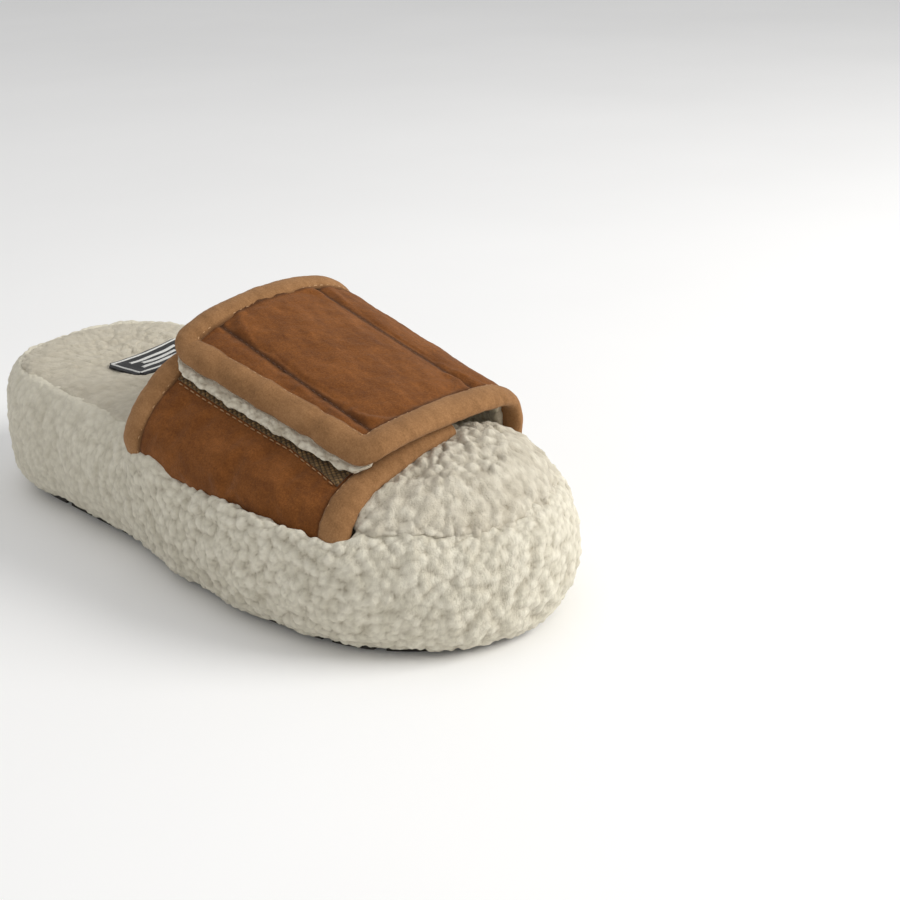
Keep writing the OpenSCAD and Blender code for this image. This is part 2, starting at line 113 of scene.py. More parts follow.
SOLE_L, SOLE_W, TOE_H, HEEL_H = 285, 123, 48, 60
OUTLINE = np.array([[-1, 142], [-34, 134], [-52, 108], [-54, 70], [-54.5, 30], [-60, -15], [-61, -60],
                    [-50.5, -104], [-22.5, -134], [13, -142], [44.5, -124], [60, -90], [61, -50],
                    [54.5, -10], [50, 30], [51.5, 70], [48, 108], [29.5, 134]], float)
OUTLINE_STEPS = 4
SPINE_TOE, SPINE_HEEL = np.array([8.0, -78]), np.array([-1.0, 88])


def closed_curve(points, steps):
    n = len(points)
    return np.array([catmull(points[i - 1], points[i], points[(i + 1) % n], points[(i + 2) % n], k / steps)
                     for i in range(n) for k in range(steps)])


COARSE = closed_curve(OUTLINE, OUTLINE_STEPS)
PLAN_SCALE = np.array([SOLE_W, SOLE_L]) / (COARSE.max(0) - COARSE.min(0))
PLAN_MID = (COARSE.max(0) + COARSE.min(0)) / 2


def outline(n):
    return even((closed_curve(OUTLINE, 10 * OUTLINE_STEPS) - PLAN_MID) * PLAN_SCALE, n, closed=True)


def spine(p):
    """The nearest place on the sole's middle line."""
    f = np.clip((p[..., 1:2] - SPINE_TOE[1]) / (SPINE_HEEL[1] - SPINE_TOE[1]), 0, 1)
    return mix(SPINE_TOE, SPINE_HEEL, f)


def inset(p, d):
    """Outline points moved in by d, towards the middle line."""
    return p + unit(spine(p) - p) * np.asarray(d)[..., None]


def top_h(y):
    """Height of the platform's top."""
    return mix(TOE_H, HEEL_H, (y + SOLE_L / 2) / SOLE_L)


def strap_zone(y, ends=-10, gone=20):
    """1 where the strap stands between the sole's rim and the footbed."""
    return ramp(y, -108, -98) * (1 - ramp(y, ends, gone))


# ---- The strap's two curved sheets, as in the CAD part ----

BIND_W = 11.6        # the binding's width
# rails: the two quilting lines, the flap's free end and the base's upper end
SIDE_END, FLAP_END, FREE_END, BASE_END = 5.0, 8.0, 10.0, 6.0
SPLIT = 6.5          # the rail where the flap's two visible halves meet
LOW_END = -0.35      # the rail where a panel ends in the sole's fleece
RAIL_STEP = 14       # millimetres between two rails, about
CORNER_R = 12.4      # the free end's two corners


class Rails:
    """A sheet ruled between a front and a rear curve; rows are front, rear, sideways bow."""

    def __init__(self, rows, sign):
        r = np.array([a + b + [bow] for a, b, bow in rows], float)
        self.n = len(r) - 1
        self.rows = np.concatenate([[2 * r[0] - r[1]], r, [2 * r[-1] - r[-2]]])
        self.sign = sign

    def mid(self, u, v):
        """The sheet's middle face at rail u, a share v of the way from front to rear."""
        u, v = np.broadcast_arrays(np.asarray(u, float), np.asarray(v, float))
        w = np.clip(u, 0, self.n)
        i = np.minimum(np.floor(w).astype(int), self.n - 1)
        q = catmull(*(self.rows[i + k] for k in range(4)), (w - i)[..., None])
        q = q + np.minimum(u, 0)[..., None] * (self.rows[2] - self.rows[1])
        q = q + np.maximum(u - self.n, 0)[..., None] * (self.rows[-2] - self.rows[-3])
        p = mix(q[..., :3], q[..., 3:6], v[..., None])
        p[..., 0] += q[..., 6] * 4 * v * (1 - v)
        p[..., :2] *= PLAN_SCALE
        return p

    def out(self, u, v):
        """Outward direction of the sheet."""
        e = 0.02
        u, v = np.broadcast_arrays(np.asarray(u, float), np.asarray(v, float))
        w = np.clip(u, e, self.n - e)
        du = self.mid(w + e, v) - self.mid(w - e, v)
        dv = self.mid(w, v + e) - self.mid(w, v - e)
        return unit(np.cross(du, dv)) * self.sign

    def lift(self, u, v, t):
        return self.mid(u, v) + self.out(u, v) * np.asarray(t)[..., None]

    def across(self, u):
        return np.linalg.norm(self.mid(u, 1.0) - self.mid(u, 0.0), axis=-1)

    def share(self, u, w, rear=False):
        """Share of the way across for a distance w from the front edge, or from the rear one."""
        s = w / self.across(u)
        return 1 - s if rear else s

    def from_edge(self, u, v):
        """Distance from the nearer of the front and rear edges."""
        return np.minimum(v, 1 - v) * self.across(u)


BASE = Rails([
    ([-43, -100, 38], [-48.5, 15, 42.6], -5.5), ([-45, -99, 44], [-54, 14, 50], -5.5),
    ([-37.5, -97, 52], [-56, 12.5, 58], -4), ([-27, -96, 56.5], [-51, 10.5, 69], -2),
    ([-15, -95.5, 60], [-39, 9, 80], -1), ([-3, -95, 62.5], [-21, 7.5, 86.5], 0),
    ([13, -94, 64], [-1, 7, 89], 0)], 1)
FLAP = Rails([
    ([48.5, -94, 38], [42.5, 15, 42.6], 5), ([46.5, -94, 46], [48, 14, 54], 4.5),
    ([47, -94.5, 56], [51.5, 12, 70], 3), ([45, -95.5, 64.5], [49, 9.5, 86], 1),
    ([39.5, -96.5, 68.5], [41.5, 8, 94.5], 0.5), ([31, -97, 70], [28.5, 8, 98.5], 0),
    ([16, -97, 70.8], [13, 8, 99.2], 0), ([-3, -97, 70.6], [-4, 8, 98.3], 0),
    ([-20.5, -97, 69.3], [-19.5, 8, 95.5], 0), ([-26.5, -97, 67], [-31, 7.5, 91.5], 0),
    ([-31.5, -97, 62.5], [-39.5, 7, 86], 0)], -1)


def swell(u, a, b):
    """0 at rails a and b, and up to 1 between them."""
    return np.clip(np.sin(np.pi * (np.asarray(u, float) - a) / (b - a)), 0, None) ** 0.7


def base_top(u):
    """The base's outer face, above its middle one."""
    return 1.5 + 0.7 * swell(u, -0.5, BASE_END + 0.5)


def flap_top(u):
    u = np.asarray(u, float)
    return 1.6 + np.where(u < SIDE_END, 1.6 * swell(u, 0, SIDE_END),
                          np.where(u < FLAP_END, 2.0 * swell(u, SIDE_END, FLAP_END),
                                   0.8 * swell(u, FLAP_END, FREE_END + 1)))


def tip_width(v):
    """Length of the tip from its quilting line to the free end."""
    return (np.linalg.norm(FLAP.mid(FLAP_END, v) - FLAP.mid(FLAP_END + 1, v), axis=-1)
            + np.linalg.norm(FLAP.mid(FLAP_END + 1, v) - FLAP.mid(FREE_END, v), axis=-1))


TIP_ACROSS = float(FLAP.across(FREE_END))


# ---- Meshes ----

def make(name, points, faces, mat):
    """Mesh object from millimetre points; closed meshes get outward normals."""
    me = bpy.data.meshes.new(name)
    places = np.asarray(points).reshape(-1, 3) * MM
    me.from_pydata(places.tolist(), [], [list(map(int, f)) for f in faces])
    ob = bpy.data.objects.new(name, me)
    bpy.context.scene.collection.objects.link(ob)
    bm = bmesh.new()
    bm.from_mesh(me)
    bmesh.ops.recalc_face_normals(bm, faces=bm.faces)
    bm.to_mesh(me)
    bm.free()
    me.shade_smooth()
    me.materials.append(mat)
    keep_rest(ob)
    return ob


def read(items, field):
    """Vectors that a mesh holds for its points."""
    values = np.zeros(len(items) * 3, np.float32)
    items.foreach_get(field, values)
    return values.reshape(-1, 3).astype(float)


def coords(ob):
    return read(ob.data.vertices, "co") / MM


def normals(ob):
    return read(ob.data.vertex_normals, "vector")


def set_coords(ob, p):
    ob.data.vertices.foreach_set("co", (p * MM).astype(np.float32).ravel())
    ob.data.update()


def stored(ob, name, kind, domain):
    return ob.data.attributes.get(name) or ob.data.attributes.new(name, kind, domain)


def attribute(ob, name, values):
    stored(ob, name, "FLOAT", "POINT").data.foreach_set("value", np.asarray(values, np.float32))


def keep_rest(ob):
    """Stores the resting places, so that a pattern stays on a piece when it bends."""
    places = (coords(ob) * MM).astype(np.float32).ravel()
    stored(ob, "rest", "FLOAT_VECTOR", "POINT").data.foreach_set("vector", places)


def edge_ends(ob):
    """Pairs of point numbers, one pair for each edge."""
    pairs = np.zeros(len(ob.data.edges) * 2, np.int32)
    ob.data.edges.foreach_get("vertices", pairs)
    return pairs.reshape(-1, 2)


def ring_faces(n, k, closed):
    """Faces of n rings of k points; open stacks get caps made of strips."""
    i = np.arange(n if closed else n - 1)[:, None]
    j = np.arange(k)[None, :]
    a, b = i * k + j, ((i + 1) % n) * k + j
    c, d = ((i + 1) % n) * k + (j + 1) % k, i * k + (j + 1) % k
    faces = np.stack([a, b, c, d], axis=-1).reshape(-1, 4).tolist()
    if not closed:
        for start in (0, (n - 1) * k):
            for j in range(k // 2 - 1):
                faces.append([start + j, start + j + 1, start + k - 2 - j, start + k - 1 - j])
    return faces


def tube(name, rings, mat, closed=False):
    """Closed mesh through a stack of rings; the rims of its two caps are sharp."""
    rings = np.asarray(rings)
    n, k = rings.shape[:2]
    ob = make(name, rings, ring_faces(n, k, closed), mat)
    if not closed:
        ends = np.zeros(len(ob.data.vertices), bool)
        ends[:k] = ends[-k:] = True
        stored(ob, "sharp_edge", "BOOLEAN", "EDGE").data.foreach_set("value", ends[edge_ends(ob)].all(1))
    return ob


def slab_rings(top, low):
    """Rings of a slab between two grids; every ring goes along a top row and back along a low one."""
    return np.concatenate([top, low[:, ::-1]], axis=1)


# ---- Curly fleece ----

def scatter(points, cell, seed):
    """One point from every cube of that size that the surface passes through."""
    rng = np.random.default_rng(seed)
    order = rng.permutation(len(points))
    ids = np.floor(points[order] / cell).astype(np.int64)
    key = ids[:, 0] * 1000003 + ids[:, 1] * 1009 + ids[:, 2]
    first = np.unique(key, return_index=True)[1]
    return points[order[first]]


def cells(points, cell, seed, warp):
    """For every point its dome's height, 0 in a crease and 1 on top, and which curl it is on.

    warp is how far the curls' shapes are bent. The third value is how many curls there are.
    """
    bends = [waves(points, cell * 1.7, seed + k, 4) for k in (11, 12, 13)]
    moved = points + warp * np.stack(bends, -1)
    seeds = scatter(moved, cell, seed)
    tree = kdtree.KDTree(len(seeds))
    for i, s in enumerate(seeds):
        tree.insert(s, i)
    tree.balance()
    near, far, which = np.zeros(len(points)), np.zeros(len(points)), np.zeros(len(points), int)
    for i, p in enumerate(moved):
        (_, which[i], near[i]), (_, _, far[i]) = tree.find_n(p, 2)
    flank = np.clip((far - near) / (0.85 * cell), 0, 1)
    ball = np.clip(1 - (near / (0.62 * cell)) ** 2, 0, 1)
    return 0.6 * ball + 0.4 * np.sqrt(1 - (1 - flank) ** 2), which, len(seeds)


def relaxed(ob, p, times, share):
    """Points moved towards the mean of their neighbours, which softens sharp folds."""
    a, b = edge_ends(ob).T
    count = np.bincount(a, minlength=len(p)) + np.bincount(b, minlength=len(p))
    for _ in range(times):
        total = np.stack([np.bincount(a, p[b, k], len(p)) + np.bincount(b, p[a, k], len(p))
                          for k in range(3)], -1)
        p = mix(p, total / np.maximum(count, 1)[:, None], share)
    return p


def curl(ob, cell, height, seed, where, lean=0.16, soft=2, painted_shade=0.0):
    """Raises curls on a mesh: rounded bobbles with narrow creases, leaning at random.

    cell is their size, where is how strong they are at each point and soft is how often the
    result is smoothed; the creases and the last argument give the fleece painted shade.
    """
    level, fine = 0.5, 0.2      # the share of a curl below the mesh, and the small curls' height
    p, n = coords(ob), normals(ob)
    live = where > 0.01
    dome, which, count = np.zeros(len(p)), np.zeros(len(p), int), 1
    dome[live], which[live], count = cells(p[live], cell, seed, 0.16 * cell)
    small = np.zeros(len(p))
    small[live] = cells(p[live], cell / 2.2, seed + 5, 0.1 * cell)[0]
    rng = np.random.default_rng(seed + 1)
    size, slope = rng.uniform(0.55, 1.3, count), rng.normal(size=(count, 3)) * lean
    rise = (dome * size[which] - level) * height + (small - 0.5) * fine * height
    side = slope[which] * (dome * height)[:, None]
    side -= n * (side * n).sum(1, keepdims=True)
    moved = p + (n * rise[:, None] + side) * where[:, None]
    set_coords(ob, relaxed(ob, moved, soft, 0.5 * np.clip(where, 0, 1)[:, None]))
    much = np.clip(where * 1.2, 0, 1) ** 1.3
    # painted shade: darker in the creases between curls, weaker where the curls are weak; the tone is each
    # curl's own, lowered by painted shade from the last argument
    attribute(ob, "crease", mix(0.8, 0.72 * dome + 0.28 * small, much))
    attribute(ob, "tone", mix(0.5, rng.uniform(0, 1, count)[which], much) - painted_shade)


# ---- Materials ----

def srgb(r, g, b):
    return tuple(((c / 255 + 0.055) / 1.055) ** 2.4 for c in (r, g, b)) + (1,)


def mix_colour(a, b, f):
    return tuple(x * (1 - f) + y * f for x, y in zip(a, b))


class Look:
    """A small helper that builds one procedural material."""

    def __init__(self, name, roughness=0.9, sheen=0.0, sheen_tint=(1, 1, 1, 1), specular=0.3):
        self.mat = bpy.data.materials.new(name)
        self.mat.use_nodes = True
        self.tree = self.mat.node_tree
        self.bsdf = self.tree.nodes["Principled BSDF"]
        self.bsdf.inputs["Roughness"].default_value = roughness
        self.bsdf.inputs["Specular IOR Level"].default_value = specular
        if sheen:
            self.bsdf.inputs["Sheen Weight"].default_value = sheen
            self.bsdf.inputs["Sheen Roughness"].default_value = 0.5
            self.bsdf.inputs["Sheen Tint"].default_value = sheen_tint

    def add(self, kind, **inputs):
        """A node; each input is a number, a colour or another node's output."""
        node = self.tree.nodes.new(kind)
        for key, value in inputs.items():
            self.plug(value, node.inputs[key])
        return node

    def plug(self, value, socket):
        if isinstance(value, bpy.types.NodeSocket):
            self.tree.links.new(value, socket)
        else:
            socket.default_value = value

    def value(self, name, output="Fac"):
        """A value that the mesh stores at its points."""
        node = self.tree.nodes.new("ShaderNodeAttribute")
        node.attribute_name = name
        return node.outputs[output]

    def rest(self):
        return self.value("rest", "Vector")

    def local(self):
        return self.tree.nodes.new("ShaderNodeTexCoord").outputs["Object"]

    def noise(self, place, scale, detail=4.0, roughness=0.55, stretch=None):
        if stretch:
            place = self.add("ShaderNodeMapping", Vector=place, Scale=stretch).outputs["Vector"]
        return self.add("ShaderNodeTexNoise", Vector=place, Scale=scale, Detail=detail,
                        Roughness=roughness).outputs["Fac"]

    def ramp(self, fac, stops):
        node = self.tree.nodes.new("ShaderNodeValToRGB")
        self.tree.links.new(fac, node.inputs["Fac"])
        for _ in range(len(stops) - 2):
            node.color_ramp.elements.new(0.5)
        for element, (place, colour) in zip(node.color_ramp.elements, stops):
            element.position = place
            element.color = colour
        return node.outputs["Color"]

    def math(self, kind, a, b):
        node = self.tree.nodes.new("ShaderNodeMath")
        node.operation = kind
        self.plug(a, node.inputs[0])
        self.plug(b, node.inputs[1])
        return node.outputs[0]

    def total(self, *terms):
        """Sum of outputs, each times its number."""
        parts = [self.math("MULTIPLY", value, share) for value, share in terms]
        out = parts[0]
        for part in parts[1:]:
            out = self.math("ADD", out, part)
        return out

    def blend(self, kind, fac, a, b):
        node = self.tree.nodes.new("ShaderNodeMix")
        node.data_type = "RGBA"
        node.blend_type = kind
        for key, value in (("Factor", fac), ("A", a), ("B", b)):
            self.plug(value, [s for s in node.inputs if s.name == key and s.enabled][0])
        return [s for s in node.outputs if s.enabled][0]

    def finish(self, colour, height=None, depth=0.0002, roughness=None):
        self.tree.links.new(colour, self.bsdf.inputs["Base Color"])
        if height is not None:
            bump = self.add("ShaderNodeBump", Height=height, Distance=depth, Strength=1.0)
            self.tree.links.new(bump.outputs["Normal"], self.bsdf.inputs["Normal"])
        if roughness is not None:
            self.tree.links.new(roughness, self.bsdf.inputs["Roughness"])
        return self.mat


def fleece_look(name, top, crease_shade, shade):
    """Wool: fibre grain, slow changes of tone, painted shade in the creases between curls and bright curl
    tops.
    """
    k = Look(name, 0.95, 0.25, (1, 0.97, 0.9, 1), 0.15)
    place = k.rest()
    fibre = k.noise(place, 1500, 6, 0.7)
    twist = k.noise(place, 520, 4, 0.6, (1, 1, 0.5))
    slow = k.noise(place, 22, 3, 0.5)
    # painted shade in the creases between curls, from the stored crease value
    depth = k.total((k.value("crease"), 0.8), (fibre, 0.28))
    colour = k.ramp(depth, [(0.1, crease_shade), (0.42, mix_colour(crease_shade, top, 0.64)), (0.84, top)])
    # tone of the curls and slow noise, lowered where painted shade is stored in the tone
    tone = k.ramp(k.total((k.value("tone"), 0.45), (slow, 0.6)), [(0.2, shade), (0.75, (1, 1, 1, 1))])
    colour = k.blend("MULTIPLY", 1.0, colour, tone)
    return k.finish(colour, k.total((fibre, 0.6), (twist, 0.9)), 0.0009)


def suede_look(name, light, mid, dark, crease):
    """Suede: cloudy brushed nap, tiny grain, painted shade in seams and creases, paler where it is rubbed.
    """
    k = Look(name, 0.92, 0.14, (1.0, 0.76, 0.56, 1), 0.15)
    place = k.rest()
    clouds = k.noise(place, 55, 5, 0.62)
    brushed = k.noise(place, 130, 4, 0.65, (2.2, 0.8, 1.0))
    grain = k.noise(place, 1500, 4, 0.8)
    pores = k.noise(place, 800, 5, 0.7)
    tone = k.total((clouds, 0.24), (brushed, 0.36), (grain, 0.5))
    colour = k.ramp(tone, [(0.42, dark), (0.55, mid), (0.69, light)])
    # painted shade: the last colour is blended in along the quilting lines and seams
    share = k.ramp(k.value("crease"), [(0.05, (0, 0, 0, 1)), (0.9, (0.85, 0.85, 0.85, 1))])
    colour = k.blend("MIX", share, colour, crease)
    height = k.total((grain, 0.5), (pores, 0.8))
    rough = k.math("ADD", 0.82, k.math("MULTIPLY", pores, 0.16))
    return k.finish(colour, height, 0.00028, rough)


# each fleece's second colour is painted shade for the creases between curls; its third darkens both its
# random tone and its painted shade
fleece = fleece_look("curly_fleece", srgb(238, 232, 214), srgb(150, 138, 116), (0.80, 0.79, 0.76, 1))
bed_fleece = fleece_look("footbed_fleece", srgb(227, 220, 202), srgb(142, 130, 110), (0.78, 0.76, 0.73, 1))
lining_fleece = fleece_look("lining_fleece", srgb(240, 232, 212), srgb(150, 136, 112),
                            (0.82, 0.80, 0.76, 1))
# each suede's last colour is the painted shade of its creases and seams
suede = suede_look("suede", srgb(142, 87, 41), srgb(117, 69, 29), srgb(94, 52, 20), srgb(50, 28, 13))
binding = suede_look("binding_suede", srgb(168, 125, 84), srgb(147, 107, 69), srgb(125, 89, 55),
                     srgb(84, 56, 34))


def thread_look():
    k = Look("thread", 0.6, 0.1, (1, 0.9, 0.8, 1), 0.4)
    place = k.rest()
    strands = k.noise(place, 2600, 3, 0.6, (1, 3, 1))
    colour = k.ramp(strands, [(0.3, srgb(158, 116, 76)), (0.7, srgb(204, 162, 116))])
    colour = k.blend("MIX", k.value("crease"), colour, srgb(84, 48, 24))
    return k.finish(colour, strands, 0.0002)


def tape_look(name, dark, light):
    k = Look(name, 0.85, 0.15, (1, 0.9, 0.8, 1), 0.3)
    place = k.rest()
    strands = k.noise(place, 900, 5, 0.7)
    # painted shade in the hollows between tufts or hooks, from the stored value
    fac = k.total((k.value("crease"), 0.65), (strands, 0.5))
    return k.finish(k.ramp(fac, [(0.25, dark), (0.95, light)]), strands, 0.0003)


thread = thread_look()
loop_tape = tape_look("loop_tape", srgb(46, 34, 20), srgb(150, 118, 74))
hook_tape = tape_look("hook_tape", srgb(22, 19, 16), srgb(84, 74, 62))


def label_look():
    k = Look("label", 0.7, 0.1, (1, 1, 1, 1), 0.35)
    place = k.rest()
    threads = []
    for direction in "XY":
        node = k.add("ShaderNodeTexWave", Vector=place, Scale=420.0, Distortion=0.4)
        node.bands_direction = direction
        threads.append(node.outputs["Fac"])
    fac = k.math("MULTIPLY", *threads)
    return k.finish(k.ramp(fac, [(0.1, srgb(16, 16, 18)), (0.9, srgb(46, 46, 50))]), fac, 0.0002)


def satin_look():
    k = Look("label_border", 0.5, 0.1, (1, 1, 1, 1), 0.5)
    strands = k.noise(k.rest(), 2200, 3, 0.6, (1, 4, 1))
    tones = [(0.3, srgb(196, 196, 192)), (0.7, srgb(240, 240, 236))]
    return k.finish(k.ramp(strands, tones), strands, 0.0002)


def plain_part_look(name, light, dark, scale, depth, roughness):
    """For CAD nodes that stay: speckle at their own scale."""
    k = Look(name, roughness)
    place = k.local()
    fine, slow = k.noise(place, scale, 5, 0.7), k.noise(place, scale / 12, 3, 0.5)
    fac = k.total((fine, 0.6), (slow, 0.4))
    rough = k.math("ADD", roughness - 0.1, k.math("MULTIPLY", fine, 0.2))
    return k.finish(k.ramp(fac, [(0.35, dark), (0.65, light)]), fine, depth, rough)


label_cloth = label_look()
satin = satin_look()
for node, *look in (
        ("outsole", "outsole_rubber", srgb(74, 70, 66), srgb(42, 39, 36), 900, 0.0003, 0.8),
        ("midsole", "eva_foam", srgb(226, 222, 212), srgb(206, 201, 190), 700, 0.0003, 0.85),
        ("insole_board", "insole_board", srgb(176, 150, 112), srgb(138, 112, 80), 500, 0.0002, 0.9),
        ("footbed_foam", "padding_foam", srgb(232, 228, 214), srgb(208, 202, 186), 600, 0.0003, 0.9)):
    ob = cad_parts[node]
    ob.data.materials.clear()
    ob.data.materials.append(plain_part_look(*look))


# ---- Camera, light and floor ----

def camera():
    # azimuth, elevation and roll of the photograph's view
    a, e, r = math.radians(-45.22), math.radians(22.84), math.radians(-1.38)
    back = Vector((math.sin(a) * math.cos(e), -math.cos(a) * math.cos(e), math.sin(e)))
    right = Vector((math.cos(a), math.sin(a), 0))
    up = back.cross(right)
    across = right * math.cos(r) + up * math.sin(r)
    above = up * math.cos(r) - right * math.sin(r)
    cam = bpy.data.objects.new("camera", bpy.data.cameras.new("camera"))
    cam.data.lens, cam.data.sensor_width = 60.5, 36
    cam.matrix_world = Matrix((across, above, back)).transposed().to_4x4()
    cam.location = (-0.3458, -0.4467, 0.2694)
    bpy.context.scene.collection.objects.link(cam)
    bpy.context.scene.camera = cam


def lamp(name, place, target, size, power, colour=(1, 1, 1)):
    data = bpy.data.lights.new(name, "AREA")
    data.shape, data.size, data.energy, data.color = "DISK", size, power, colour
    ob = bpy.data.objects.new(name, data)
    bpy.context.scene.collection.objects.link(ob)
    ob.location = place
    ob.rotation_euler = (Vector(target) - Vector(place)).to_track_quat("-Z", "Y").to_euler()


def stage():
    scene = bpy.context.scene
    scene.view_settings.view_transform = "Standard"
    world = bpy.data.worlds.new("studio")
    scene.world = world
    world.use_nodes = True
    sky = world.node_tree.nodes["Background"].inputs
    sky["Color"].default_value = (1, 1, 1, 1)
    sky["Strength"].default_value = 0.57
    lamp("key", (0.75, -1.05, 0.85), (0, -0.02, 0.04), 0.9, 17, (1, 0.985, 0.955))
    lamp("top", (-0.1, 0.25, 1.5), (0, 0, 0.05), 1.2, 2)
    bm = bmesh.new()
    bmesh.ops.create_grid(bm, x_segments=8, y_segments=8, size=12)
    me = bpy.data.meshes.new("floor")
    bm.to_mesh(me)
    bm.free()
    floor = bpy.data.objects.new("floor", me)
    scene.collection.objects.link(floor)
    k = Look("floor", 0.9, specular=0.1)
    pale, paler = (0.93, 0.93, 0.93, 1), (0.96, 0.96, 0.96, 1)
    k.finish(k.ramp(k.noise(k.local(), 3, 3), [(0.3, pale), (0.7, paler)]))
    me.materials.append(k.mat)


camera()
stage()


# ---- Sole fleece ----

def sidewall():
    n_round, steps = 840, 9
    # points of a profile: how far in from the outline, and the share of the platform's height
    open_side = np.array([[9.8, .055], [7, .08], [3, .17], [.7, .32], [0, .48], [.8, .66], [3.6, .83],
                          [7.4, .935], [11, .955], [13.4, .925], [14.0, .86]])
    strap_side = np.array([[9.8, .055], [7, .08], [3, .17], [.7, .32], [0, .48], [.2, .65], [.9, .775],
                           [2.4, .855], [4.8, .88], [7.0, .84], [7.9, .77]])
    inner = np.array([[12.8, .745], [6.4, .738], [6.3, .62], [6.3, .48], [7.2, .32], [9.6, .17],
                      [11.2, .095]])
    p = outline(n_round)
    beside = strap_zone(p[:, 1], 6, 24)
    control = mix(open_side[None], strap_side[None], beside[:, None, None])
    line = smooth_line(np.moveaxis(control, 1, 0), steps)
    closing = np.repeat(inner[:, None], n_round, 1).copy()
    closing[0, :, 0] = mix(inner[0, 0], 7.2, beside)
    shape = np.concatenate([line, closing])
    # the fleece wells up over the strap's rear corners
    well = (beside * ramp(p[:, 1], -24, -3))[None] * ramp(shape[..., 1], 0.6, 0.8)
    xy = inset(p[None].repeat(len(shape), 0), shape[..., 0] - 2.8 * well)
    z = shape[..., 1] * top_h(xy[..., 1]) + 5.0 * well
    rings = np.concatenate([xy, z[..., None]], axis=2).swapaxes(0, 1)
    ob = tube("sidewall_curls", rings, fleece, closed=True)
    live = np.where(np.arange(len(shape)) < len(line), 1.0, 0.0)
    live[:6] = np.linspace(0.2, 1, 6)       # short pile where it meets the outsole
    where = np.tile(live, n_round)
    q = coords(ob)
    sag = waves(q, 38, 3) * 0.9 + waves(q, 17, 4) * 0.45
    set_coords(ob, q + normals(ob) * (sag * where)[:, None])
    q = coords(ob)
    combed = ramp(q[:, 1], -60, 80)
    flat_top = ramp(q[:, 2] / top_h(q[:, 1]), 0.8, 0.95) * ramp(q[:, 1], -90, -20)
    curl(ob, 4.1, 2.1, 21, where * mix(1.0, 0.6, combed) * mix(1.0, 0.6, flat_top), soft=3)
    keep_rest(ob)
    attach(ob, "slipper")
    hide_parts("sidewall_fleece")


def footbed():
    n_round, n_in = 620, 44
    # inset at the heel, beside the strap and at the toe, then depth at the heel and at the toe
    rim = np.array([[17, 17.5, 15, 10, 10], [12, 13.6, 9.6, 8.2, 7], [10, 12.2, 8.4, 5.4, 4.6],
                    [9.8, 12.8, 8.2, 3.4, 3.3], [11.8, 15.5, 10.2, 2.0, 1.4], [17, 20, 15.0, .8, -1.8],
                    [26, 26, 24, 0, -4.6]])
    p = outline(n_round)
    toe = (1 - ramp(p[:, 1], -100, -88))[None]
    line = smooth_line(rim, 5)[:, :, None]
    d = mix(mix(line[:, 0], line[:, 2], toe), line[:, 1], strap_zone(p[:, 1])[None])
    xy = inset(p[None].repeat(len(line), 0), d)
    z = top_h(xy[..., 1]) - mix(line[:, 3], line[:, 4], toe)
    g = np.linspace(0, 1, n_in)[1:, None, None]
    inner_xy = mix(xy[-1][None], spine(xy[-1])[None], g)
    inner_z = top_h(inner_xy[..., 1]) - rim[-1, 4] * toe * (1 - 0.7 * g[..., 0])
    ring = np.concatenate([np.concatenate([xy, inner_xy]), np.concatenate([z, inner_z])[..., None]], axis=2)
    k = len(ring)
    i, j = np.arange(k - 1)[:, None], np.arange(n_round)[None]
    a, b = i * n_round + j, i * n_round + (j + 1) % n_round
    faces = np.stack([a, b, b + n_round, a + n_round], -1).reshape(-1, 4).tolist()
    faces.append(list(range(n_round))[::-1])
    ob = make("footbed_curls", ring, faces, bed_fleece)
    # the last rings run together on the middle line
    bm = bmesh.new()
    bm.from_mesh(ob.data)
    bm.verts.ensure_lookup_table()
    bmesh.ops.remove_doubles(bm, verts=bm.verts[(k - 3) * n_round:], dist=0.45 * MM)
    bmesh.ops.recalc_face_normals(bm, faces=bm.faces)
    bm.to_mesh(ob.data)
    bm.free()
    q = coords(ob)
    top = ramp(q[:, 2] - top_h(q[:, 1]), -9, -6)
    lumps = waves(q, 30, 8) * 0.8 + waves(q, 14, 9) * 0.4
    q[:, 2] += (heel_dip(q[:, 0], q[:, 1]) + crown(q[:, 0], q[:, 1]) + lumps) * top
    set_coords(ob, q)
    toe = 1 - ramp(q[:, 1], -110, -30)
    patch = np.abs(turned(*(q[:, :2] - LABEL_AT).T, -LABEL_TURN))
    clear = [ramp(away, half - 1, half + 3) for away, half in zip(patch, (LABEL_X, LABEL_Y))]
    clear = 1 - (1 - clear[0]) * (1 - clear[1])
    # the last argument is painted shade that deepens towards the heel
    curl(ob, 4.4, 2.1, 41, top * mix(0.45, 1.1, toe) * mix(0.25, 1, clear), lean=0.2,
         painted_shade=0.5 * ramp(q[:, 1], -10, 60))
    keep_rest(ob)
    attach(ob, "slipper")
    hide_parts("footbed_fleece", "footbed_foam")


def heel_dip(x, y):
    """The footbed is dished a little under the heel."""
    return -3.0 * np.exp(-((x - 1) / 30) ** 2 - ((y - 84) / 38) ** 2)


def crown(x, y):
    """Fleece that wells up in front of the strap, highest under its front edge."""
    d = (x - 16) / np.where(x < 16, 37, 25)
    return 10.5 * np.exp(-d * d) * ramp(y, -141, -98) * (1 - ramp(y, -90, -64))


LABEL_AT, LABEL_TURN = np.array([5.0, 77.0]), math.radians(8)
LABEL_X, LABEL_Y = 21.0, 11.0       # half of its width and of its length


def turned(x, y, angle):
    c, s = math.cos(angle), math.sin(angle)
    return x * c - y * s, x * s + y * c


def on_footbed(x, y, h):
    """Points of the label, which follows the footbed's dip."""
    px, py = turned(x, y, LABEL_TURN)
    px, py = px + LABEL_AT[0], py + LABEL_AT[1]
    return np.stack([px, py, top_h(py) + 0.6 + heel_dip(px, py) + h], axis=-1)


def label_bow(x, y):
    """The label's own unevenness."""
    return 0.25 * waves(on_plane(x, y), 14, 61)


